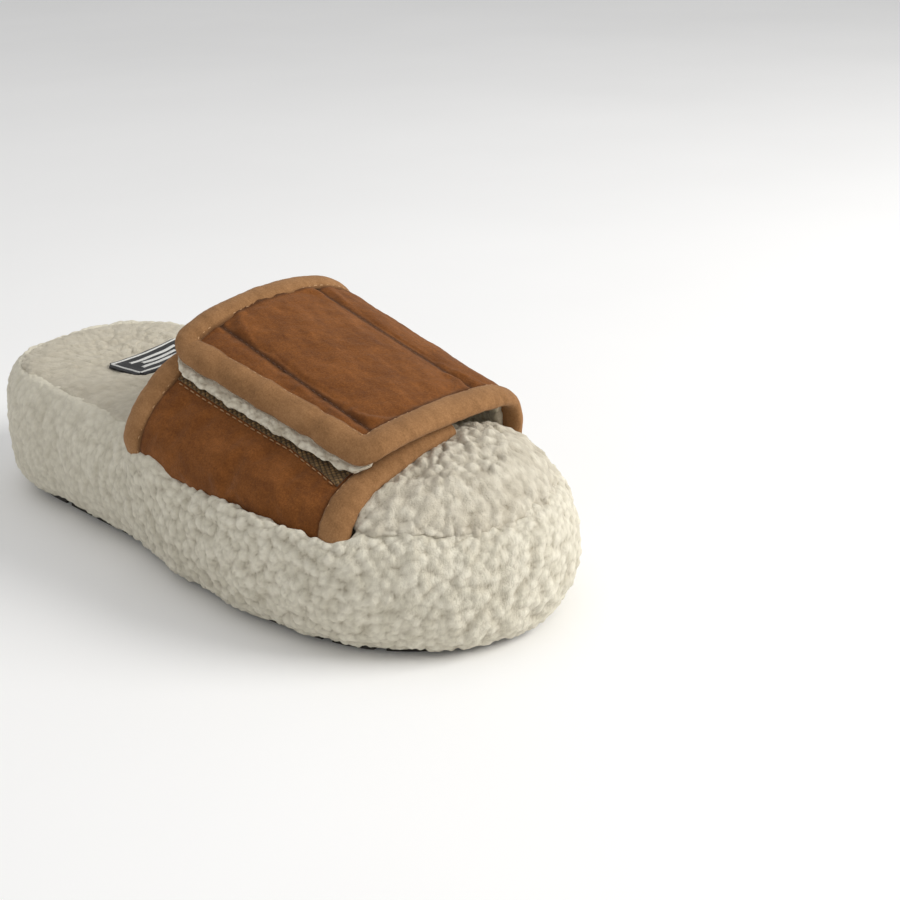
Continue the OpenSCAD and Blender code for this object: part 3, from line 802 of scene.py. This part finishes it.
def label():
    w, l, r = LABEL_X, LABEL_Y, 3.0     # r is for its corners
    x, y = np.meshgrid(np.linspace(-w, w, 70), np.linspace(-l, l, 44), indexing="ij")
    into_corner = [np.clip((np.abs(at) - (half - r)) / r, 0, 1) for at, half in ((x, w), (y, l))]
    pull = 1 - 0.707 * 0.42 * np.minimum(*into_corner)
    x, y = x * mix(1, pull, 0.35), y * mix(1, pull, 0.5)
    bow = label_bow(x, y)
    soft = -0.35 * ramp(np.maximum(np.abs(x) / w, np.abs(y) / l), 0.9, 1)
    top = on_footbed(x, y, 0.75 + bow + soft)
    ob = tube("label_patch", slab_rings(top, on_footbed(x, y, -0.5 + bow)), label_cloth)
    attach(ob, "slipper")
    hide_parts("woven_label")
    # a satin border and three plain bars, which carry no lettering: x, y and width of each
    border_w, bar_w = 1.0, 1.9
    margin = 2.2
    w, l = w - margin, l - margin
    rows = []
    for side in (-1, 1):
        rows.append((np.linspace(-w, w, 80), np.full(80, side * l), border_w))
        rows.append((np.full(50, side * w), np.linspace(-l, l, 50), border_w))
    for half, at in ((13, 3.8), (9.5, 0), (13, -3.8)):
        rows.append((np.linspace(-half, half, 60), np.full(60, at), bar_w))
    a = np.linspace(0, np.pi, 7)
    parts = []
    for x, y, width in rows:
        side = unit(np.stack([-np.gradient(y), np.gradient(x)], -1))
        rise = 0.45 + 0.05 * np.sin(np.arange(len(x)) * 2.4)
        xy = np.stack([x, y], -1)[:, None] + side[:, None] * (np.cos(a) * width / 2)[None, :, None]
        height = 0.7 + label_bow(x, y)[:, None] + np.sin(a) * rise[:, None]
        ring = on_footbed(xy[..., 0], xy[..., 1], height)
        parts.append(slab_rings(ring, ring - [0, 0, 0.3]))
    ob = joined("label_border", parts, satin)
    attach(ob, "slipper")
    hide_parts("label_stitching")


def joined(name, parts, mat):
    """One mesh of several stacks of rings."""
    points, faces, start = [], [], 0
    for rings in parts:
        points.append(rings.reshape(-1, 3))
        faces += (np.array(ring_faces(rings.shape[0], rings.shape[1], False)) + start).tolist()
        start += rings.shape[0] * rings.shape[1]
    return make(name, np.concatenate(points), faces, mat)


# ---- Strap: padded suede panels ----

PRESSURE, GROW, FRAMES = 3.0, 0.012, 20     # for the cloth simulation


def puffed(rest, pinned):
    """Cloth simulation of an open sheet: rest is a grid of points, whose pinned ones stay.

    It runs ten times full size, which suits the solver, and returns how far each point moves.
    """
    scene = bpy.context.scene
    big = 10 * MM
    n, m = rest.shape[:2]
    i, j = np.arange(n - 1)[:, None], np.arange(m - 1)[None]
    a = i * m + j
    faces = np.stack([a, a + m, a + m + 1, a + 1], -1).reshape(-1, 4)
    me = bpy.data.meshes.new("sim")
    me.from_pydata((rest.reshape(-1, 3) * big).tolist(), [], faces.tolist())
    ob = bpy.data.objects.new("sim", me)
    scene.collection.objects.link(ob)
    group = ob.vertex_groups.new(name="pin")
    group.add([int(k) for k in np.flatnonzero(pinned.ravel())], 1.0, "REPLACE")
    cloth = ob.modifiers.new("cloth", "CLOTH")
    s = cloth.settings
    s.quality, s.mass, s.air_damping = 6, 0.3, 4
    s.tension_stiffness = s.compression_stiffness = 20
    s.shear_stiffness, s.bending_stiffness = 8, 6
    s.vertex_group_mass = "pin"
    s.use_pressure, s.uniform_pressure_force = True, PRESSURE
    s.shrink_min = -GROW
    s.effector_weights.gravity = 0
    cloth.point_cache.frame_start, cloth.point_cache.frame_end = 1, FRAMES
    for k in range(1, FRAMES + 1):
        scene.frame_set(k)
    shape = ob.evaluated_get(bpy.context.evaluated_depsgraph_get())
    co = read(shape.data.vertices, "co")
    scene.frame_set(1)
    bpy.data.objects.remove(ob)
    bpy.data.meshes.remove(me)
    return co.reshape(n, m, 3) / big - rest


def finer(grid, n, m):
    """The same grid of vectors at n by m points."""
    def along(rows, count):
        """Each row's vectors, at that many places along it."""
        old, new = np.linspace(0, 1, rows.shape[1]), np.linspace(0, 1, count)
        return np.stack([[np.interp(new, old, row) for row in rows[..., k]] for k in range(3)], -1)
    return along(along(grid, m).swapaxes(0, 1), n).swapaxes(0, 1)


def panel_surface(rails, u, v, top, channels, seed, held=None):
    """Outer face of a padded suede panel, and the painted shade of its creases, over a grid of rail places.

    channels are the rails of its quilting lines; held marks the points that don't swell.
    """
    n, m = u.shape
    w = rails.from_edge(u, v)
    away = np.full(u.shape, 99.0)
    for c in channels:
        away = np.minimum(away, np.abs(u - c) * RAIL_STEP)
    near = ramp(away, 0, 5.5)
    soft_edge = ramp(w, BIND_W - 4, BIND_W + 6)
    surface, out = rails.lift(u, v, top(u)), rails.out(u, v)
    i = np.round(np.linspace(0, n - 1, n // 2)).astype(int)
    j = np.round(np.linspace(0, m - 1, m // 2)).astype(int)
    few = np.ix_(i, j)
    pinned = w[few] < BIND_W - 2
    pinned[:2] = pinned[-1:] = pinned[:, :1] = pinned[:, -1:] = True
    for c in channels:
        pinned |= np.abs(u[few] - c) * RAIL_STEP < 1.1
    if held is not None:
        pinned |= held[few]
    move = finer(puffed(surface[few], pinned), n, m)
    along = (move * out).sum(-1, keepdims=True)
    surface = surface + move - out * along + out * np.clip(along, -0.8, 1.9)
    wrinkles = 0.35 * waves(surface * [1, 0.55, 1], 16, seed) + 0.2 * waves(surface, 7, seed + 1)
    # short pulls across a quilting line
    flow = surface * [0.3, 1.6, 1]
    pull = waves(flow, 10, seed + 2) + 0.6 * waves(flow, 5, seed + 3)
    wrinkles += 0.55 * (1 - near) * pull * ramp(near, 0, 0.4)
    if held is not None:
        wrinkles = np.where(held, 0.15 * wrinkles, wrinkles)
    hump = wrinkles * soft_edge * np.maximum(near, 0.15) - 1.3 * (1 - near) ** 2 * soft_edge
    hump -= 0.9 * (1 - soft_edge)
    at_binding = 1 - ramp(w, BIND_W - 0.8, BIND_W + 1.2)
    # painted shade: darker along the quilting lines and next to the binding
    crease = np.clip(0.9 * np.exp(-(away / 1.2) ** 2) + 0.7 * at_binding, 0, 1)
    return surface + out * hump[..., None], crease


def panel_piece(name, surface, low, crease):
    ob = tube(name, slab_rings(surface, low), suede)
    attribute(ob, "crease", slab_rings(crease[..., None], crease[..., None]).ravel())
    return ob


def grid_uv(u0, u1, n, w_edge, rails, m):
    """Rail places of n rows of m points, which stay w_edge away from the front and rear edges."""
    u = np.linspace(u0, u1, n)[:, None].repeat(m, 1)
    a = w_edge / rails.across(u[:, 0])[:, None]
    v = a + (1 - 2 * a) * np.linspace(0, 1, m)[None]
    return u, v


def flap_grid(n_side, n_tip, m, w_edge, a_end):
    """Rail places over the whole flap sheet, to distance a_end from the free end.

    The first n_side rows end at the split.
    """
    run = np.linspace(0, 1, m)
    u_side = np.linspace(LOW_END, SPLIT, n_side)[:, None].repeat(m, 1)
    u_last = FREE_END - 2 * a_end / tip_width(run)
    u_tip = SPLIT + (u_last - SPLIT)[None] * np.linspace(0, 1, n_tip)[1:, None]
    u = np.concatenate([u_side, u_tip])
    a = w_edge / FLAP.across(u)
    return u, a + (1 - 2 * a) * run[None]


# round the binding: the share of its width, and the height over the sheet's middle face
BINDING_SECTION = np.array([[1.0, .9], [.985, 1.75], [.93, 2.3], [.82, 2.9], [.66, 3.35], [.48, 3.45],
                            [.3, 3.1], [.14, 2.3], [.03, 1.2], [-.01, .1], [.03, -1.2], [.14, -2.2],
                            [.36, -2.7], [.65, -2.7], [.92, -2.4], [.95, -1.3], [.7, -1.1], [.42, -1.0],
                            [.24, 0], [.42, .9], [.7, .7], [.93, .4]])


def section_points():
    return even(BINDING_SECTION * [BIND_W, 1], 34, closed=True)


def binding_rings(spots, wave_seed):
    """Rings of a binding; spots gives every station's point at a distance and a height."""
    grid = np.stack([spots(w, t) for w, t in section_points()], axis=1)
    centre = grid.mean(1, keepdims=True)
    plump = 1 + 0.05 * waves(centre, 13, wave_seed) + 0.035 * waves(centre, 5, wave_seed + 1)
    return centre + (grid - centre) * plump[..., None]


def binding_piece(name, rings):
    ob = tube(name, rings, binding)
    # painted shade on the binding's side that meets the panel
    crease = ramp(section_points()[:, 0], BIND_W - 1.3, BIND_W - 0.1) * 0.75
    attribute(ob, "crease", np.tile(crease, len(rings)))
    return ob


def base_edge(u, rear, seed):
    """Rings of the base's front or rear binding."""
    drift = 0.12 * waves(on_plane(u * RAIL_STEP, 0 * u), 15, seed)

    def spots(w, t):
        return BASE.lift(u, BASE.share(u, w + drift, rear), t * np.ones(len(u)))
    return binding_rings(spots, seed)


def flap_edge():
    """Stations along the flap's edge: up the front, round the tip and down the rear.

    Returns a function that gives the rail places at distance w from the edge, the number of
    stations before the split, and the stations' share of the free end's waviness.
    """
    u_arc = FREE_END - 2 * CORNER_R / tip_width(0.0), FREE_END - 2 * CORNER_R / tip_width(1.0)
    n_side = 100
    sides = [np.concatenate([np.linspace(LOW_END, SPLIT, n_side),
                             np.linspace(SPLIT, u, int((u - SPLIT) * 12))[1:]]) for u in u_arc]
    c, arc = CORNER_R, 15
    path = []
    for k in range(1, arc + 1):
        q = math.pi / 2 * k / arc
        path.append((c * (1 - math.sin(q)), c * (1 - math.cos(q)), math.sin(q), math.cos(q)))
    for s in np.linspace(c, TIP_ACROSS - c, 66)[1:-1]:
        path.append((0.0, s, 1.0, 0.0))
    for k in range(arc):
        q = math.pi / 2 * k / arc
        path.append((c * (1 - math.cos(q)), TIP_ACROSS - c * (1 - math.sin(q)), math.cos(q), -math.sin(q)))
    path = np.array(path)

    def side(u, rear, w):
        v = FLAP.share(u, w, rear)
        a = (FREE_END - u) * tip_width(float(rear)) / 2
        return mix(u, FREE_END - 2 * a / tip_width(v), ramp(u, SPLIT + 0.2, u_arc[rear])), v

    def places(w):
        a, s = path[:, 0] + path[:, 2] * w, path[:, 1] + path[:, 3] * w
        u = FREE_END - 2 * a / tip_width(s / TIP_ACROSS)
        wide = FLAP.across(u)
        v = np.where(s < TIP_ACROSS / 2, s / wide, 1 - (TIP_ACROSS - s) / wide)
        parts = side(sides[0], False, w), (u, v), side(sides[1][::-1], True, w)
        return [np.concatenate(part) for part in zip(*parts)]
    free = np.concatenate([sides[0] * 0, path[:, 2], sides[1] * 0])
    return places, n_side, free


STITCH_L, STITCH_PITCH, STITCH_W, STITCH_SINK = 2.3, 3.1, 0.5, 0.12
SEAM_W, SEAM_T = BIND_W - 1.1, 2.0      # the seam's distance from the edge, and its height


def stitches(name, lines):
    """Separate stitches along lines of points; a line has its outward directions and its shade."""
    f, a = np.linspace(-1, 1, 7), np.linspace(0, 2 * np.pi, 6, endpoint=False)
    r = STITCH_W / 2 * np.sqrt(np.clip(1 - f ** 4 * 0.96, 0.02, 1))
    parts, shades = [], []
    for path, out, shade in lines:
        at = np.concatenate([[0], np.cumsum(np.linalg.norm(np.diff(path, axis=0), axis=1))])
        n = int(at[-1] / STITCH_PITCH)
        for k in range(n):
            s = (k + 0.5) * at[-1] / n + f * STITCH_L / 2
            c = np.stack([np.interp(s, at, path[:, i]) for i in range(3)], -1)
            o = unit(np.stack([np.interp(s, at, out[:, i]) for i in range(3)], -1))
            side = unit(np.cross(unit(np.gradient(c, axis=0)), o))
            c = c + o * (0.34 * (1 - f ** 2) - STITCH_SINK)[:, None]
            spoke = side[:, None] * np.cos(a)[:, None] + o[:, None] * np.sin(a)[:, None]
            parts.append(c[:, None] + r[:, None, None] * spoke)
            shades.append(shade)
    ob = joined(name, parts, thread)
    attribute(ob, "crease", np.repeat(shades, len(f) * len(a)))
    return ob


def seam_line(rails, u, rear):
    s = rails.share(u, SEAM_W, rear)
    return rails.lift(u, s, np.full(len(u), SEAM_T)), rails.out(u, s), 0.0


BEND = 9.0      # how much fabric bends at a quilting line, across it


def bend_ends(at):
    """Where the fabric's bend at a quilting line starts and ends, in metres."""
    axis = unit(FLAP.mid(at, 1.0) - FLAP.mid(at, 0.0))
    middle = FLAP.lift(np.array([at]), np.array([0.5]), np.array([0.0]))[0]
    d = FLAP.mid(at + 0.2, 0.5) - FLAP.mid(at - 0.2, 0.5)
    d = unit(d - axis * (d @ axis))
    return (middle - d * BEND / 2) * MM, (middle + d * BEND / 2) * MM


def blend_lift(ob):
    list(bend_ends(SIDE_END))
    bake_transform(ob)


def blend_peel(ob):
    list(bend_ends(FLAP_END))
    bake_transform(ob)


def fleece_slab(name, top, low, seed, both=None, press=None):
    """Fleece lining between two grids, whose low side carries the curls.

    both is where the top side has curls too, and press is where a tape flattens the low side.
    """
    n, m = top.shape[:2]
    ob = tube(name, slab_rings(top, low), lining_fleece)
    fade = np.concatenate([np.zeros((n, m)), np.ones((n, m))], axis=1)
    fade[:, :2] = fade[:, m - 2:m] = 0.6
    fade[:3] = np.maximum(fade[:3], 0.7)
    fade[-3:] = np.maximum(fade[-3:], 0.7)
    if both is not None:
        fade[:, :m] = np.maximum(fade[:, :m], both)
    if press is not None:
        fade[:, m:] *= 1 - press[:, ::-1]
    curl(ob, 3.1, 1.4, seed, fade.ravel())
    keep_rest(ob)
    return ob


def strap():
    # base, on the outer side
    u, v = grid_uv(LOW_END, BASE_END, 118, 7.5, BASE, 108)
    surface, crease = panel_surface(BASE, u, v, base_top, [], 71, u > loop_edge(v) - 0.2)
    base = panel_piece("base_panel", surface, BASE.lift(u, v, np.full(u.shape, -0.45)), crease)
    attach(base, "slipper")
    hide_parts("base_suede", "base_padding")
    for rear, node in ((False, "base_front_binding"), (True, "base_rear_binding")):
        ob = binding_piece(node.replace("base", "base_edge"),
                           base_edge(np.linspace(LOW_END, BASE_END, 110), rear, 81 + rear))
        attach(ob, "slipper")
        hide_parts(node)

    # flap: one surface, cut at the split into two halves
    n_side = 132
    u, v = flap_grid(n_side, 62, 108, 7.5, BIND_W - 3.5)
    surface, crease = panel_surface(FLAP, u, v, flap_top, [SIDE_END, FLAP_END], 73)
    low = FLAP.lift(u, v, np.full(u.shape, -0.45))
    side = panel_piece("side_panel", surface[:n_side], low[:n_side], crease[:n_side])
    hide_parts("side_suede", "side_padding")
    blend_lift(side)
    tip = panel_piece("tip_panel", surface[n_side - 1:], low[n_side - 1:], crease[n_side - 1:])
    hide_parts("flap_suede", "flap_padding", "tip_suede", "tip_padding")
    blend_peel(tip)

    places, n_edge, free = flap_edge()
    along = np.arange(len(free)) * 1.3
    wave = 0.7 * free * waves(on_plane(along, 0 * along), 27, 93)

    def spots(w, t):
        uu, vv = places(w)
        return FLAP.lift(uu, vv, t + wave)
    rings = binding_rings(spots, 91)
    for name, part, node in (("side_edge_front_binding", rings[:n_edge], "side_front_binding"),
                             ("side_edge_rear_binding", rings[-n_edge:], "side_rear_binding")):
        ob = binding_piece(name, part)
        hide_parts(node)
        blend_lift(ob)
    ob = binding_piece("flap_edge_binding", rings[n_edge - 1:len(rings) - n_edge + 1])
    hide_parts("flap_front_binding", "flap_rear_binding", "tip_binding")
    blend_peel(ob)
    linings()
    seams(places, n_edge, len(free))


def taped(u, v):
    """1 where the hook tape presses the flap's lining flat."""
    along = ramp(u, SIDE_END + 0.9, SIDE_END + 1.05) * (1 - ramp(u, FLAP_END - 0.2, FLAP_END))
    return along * ramp(FLAP.from_edge(u, v), HOOK_MARGIN - 2, HOOK_MARGIN - 0.5)


def tucked(w):
    """1 where the lining goes in under the binding, at a distance w from the edge."""
    return 1 - ramp(w, BIND_W - 2, BIND_W + 3)


def linings():
    # base
    u, v = grid_uv(LOW_END, BASE_END, 120, 7.0, BASE, 118)
    under = -0.6 - 1.9 * tucked(BASE.from_edge(u, v))
    ob = fleece_slab("base_fleece", BASE.lift(u, v, under), BASE.lift(u, v, under - 2.8), 101)
    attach(ob, "slipper")
    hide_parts("base_lining")
    # inner side
    u, v = grid_uv(LOW_END, SPLIT, 132, 7.0, FLAP, 118)
    under = -0.6 - 1.9 * tucked(FLAP.from_edge(u, v))
    flat = taped(u, v)
    low = under - 2.8 + 0.8 * flat
    ob = fleece_slab("side_fleece", FLAP.lift(u, v, under), FLAP.lift(u, v, low), 103, press=flat)
    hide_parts("side_lining", "flap_lining")
    blend_lift(ob)
    # tip: the fleece comes out past the free end, and its ragged edge shows below the binding
    n, m = 96, 130
    s = np.linspace(4.0, TIP_ACROSS - 4.0, m)
    corner = np.minimum(s, TIP_ACROSS - s)
    arc = np.where(corner < CORNER_R,
                   CORNER_R - np.sqrt(np.clip(CORNER_R ** 2 - (CORNER_R - corner) ** 2, 0, None)), 0)
    ragged = 0.7 * waves(on_plane(s, 0 * s), 9, 120) + 0.4 * waves(on_plane(s, 0 * s), 4, 121)
    a_end = -mix(3.2, 4.6, ramp(s / TIP_ACROSS, 0.1, 0.6)) * ramp(corner, 3, 15) + arc + ragged
    v = (s / TIP_ACROSS)[None].repeat(n, 0)
    u_last = FREE_END - 2 * a_end / tip_width(v[0])
    u = SPLIT + (u_last - SPLIT)[None] * np.linspace(0, 1, n)[:, None]
    a = (FREE_END - u) / 2 * tip_width(v)
    free = 1 - ramp(a, BIND_W - 1, BIND_W + 4)
    past = 1 - ramp(a, -2.0, 1.5)
    under = -0.6 - 1.4 * np.maximum(tucked(FLAP.from_edge(u, v)), free) + 0.5 * past
    flat = taped(u, v)
    low = np.maximum(under - 2.6, -3.3 + 0.3 * past) + 0.6 * flat
    ob = fleece_slab("tip_fleece", FLAP.lift(u, v, under), FLAP.lift(u, v, low), 105, both=past, press=flat)
    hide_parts("tip_lining")
    blend_peel(ob)


def seams(places, n_edge, n_all):
    base_u = np.linspace(0.2, BASE_END - 0.2, 60)
    lines = [seam_line(BASE, base_u, rear) for rear in (False, True)]
    s = mix(BASE.share(4.0, BIND_W + 1.5), BASE.share(4.0, BIND_W + 1.5, True), np.linspace(0, 1, 60))
    u = loop_edge(s) - 0.06
    lines.append((BASE.lift(u, s, base_top(u) + 0.3), BASE.out(u, s), 0.25))
    ob = stitches("base_stitches", lines)
    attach(ob, "slipper")
    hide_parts("base_stitching", "loop_patch_stitching")
    uu, vv = places(SEAM_W)
    whole = FLAP.lift(uu, vv, np.full(n_all, SEAM_T)), FLAP.out(uu, vv)
    cuts = [slice(0, n_edge), slice(n_edge - 1, n_all - n_edge + 1), slice(n_all - n_edge, n_all)]
    front, tip, rear = [(whole[0][c], whole[1][c], 0.0) for c in cuts]
    ob = stitches("side_stitches", [front, rear, channel(SIDE_END)])
    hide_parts("side_stitching", "side_channel_stitching")
    blend_lift(ob)
    ob = stitches("flap_stitches", [tip, channel(FLAP_END)])
    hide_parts("flap_stitching", "flap_channel_stitching", "tip_stitching")
    blend_peel(ob)


def channel(at):
    u = np.full(60, at)
    s = mix(FLAP.share(at, BIND_W + 1), FLAP.share(at, BIND_W + 1, True), np.linspace(0, 1, 60))
    return FLAP.lift(u, s, flap_top(u) - 1.45), FLAP.out(u, s), 1.0


HOOK_MARGIN = 19        # the hook tape's distance from the flap's edges


def loop_edge(v):
    """Rail of the loop tape's lower edge, which dips towards the front."""
    return np.interp(v, [0.1, 0.2, 0.34, 0.6, 0.9], [2.45, 2.8, 3.18, 3.5, 3.8])


def tapes():
    # loop tape: a net of small tufts on the base, under the flap's free end
    station = 15.0      # about one station of the rails, in mm
    n, m = 170, 300
    a = (BIND_W + 0.5) / BASE.across(4.0)
    v = (a + (1 - 2 * a) * np.linspace(0, 1, m))[None].repeat(n, 0)
    u = mix(loop_edge(v), BASE_END - 0.1, np.linspace(0, 1, n)[:, None])
    x, y = v * BASE.across(u), u * station
    net = np.abs(np.sin((x + y) * 1.5)) * np.abs(np.sin((x - y) * 1.5))
    tuft = net ** 0.6 * (0.75 + 0.35 * waves(on_plane(x, y), 3.2, 111))
    top = BASE.lift(u, v, base_top(u) + 0.25 + 0.6 * tuft)
    low = BASE.lift(u, v, base_top(u) - 0.6)
    ob = tube("loop_tape", slab_rings(top, low), loop_tape)
    # painted shade between the tufts, darker where they are low
    attribute(ob, "crease", slab_rings(tuft[..., None], tuft[..., None]).ravel())
    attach(ob, "slipper")
    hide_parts("loop_patch")
    # hook tape: rows of small hooks under the flap
    station = 16.5
    n, m = 90, 230
    u = np.linspace(SIDE_END + 1.1, FLAP_END - 0.25, n)[:, None].repeat(m, 1)
    a = HOOK_MARGIN / FLAP.across(u)
    v = a + (1 - 2 * a) * np.linspace(0, 1, m)[None]
    x, y = v * FLAP.across(u), u * station
    hook = np.clip(np.sin(x * 4.2) * np.sin(y * 4.2), 0, 1)
    top = FLAP.lift(u, v, np.full(u.shape, -2.2))
    ob = tube("hook_tape", slab_rings(top, FLAP.lift(u, v, -3.3 - 0.8 * hook)), hook_tape)
    # painted shade between the hooks, darker where they are low
    attribute(ob, "crease", slab_rings(hook[..., None] * 0, hook[..., None]).ravel())
    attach(ob, "flap")
    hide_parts("hook_patch")


sidewall()
footbed()
label()
strap()
tapes()
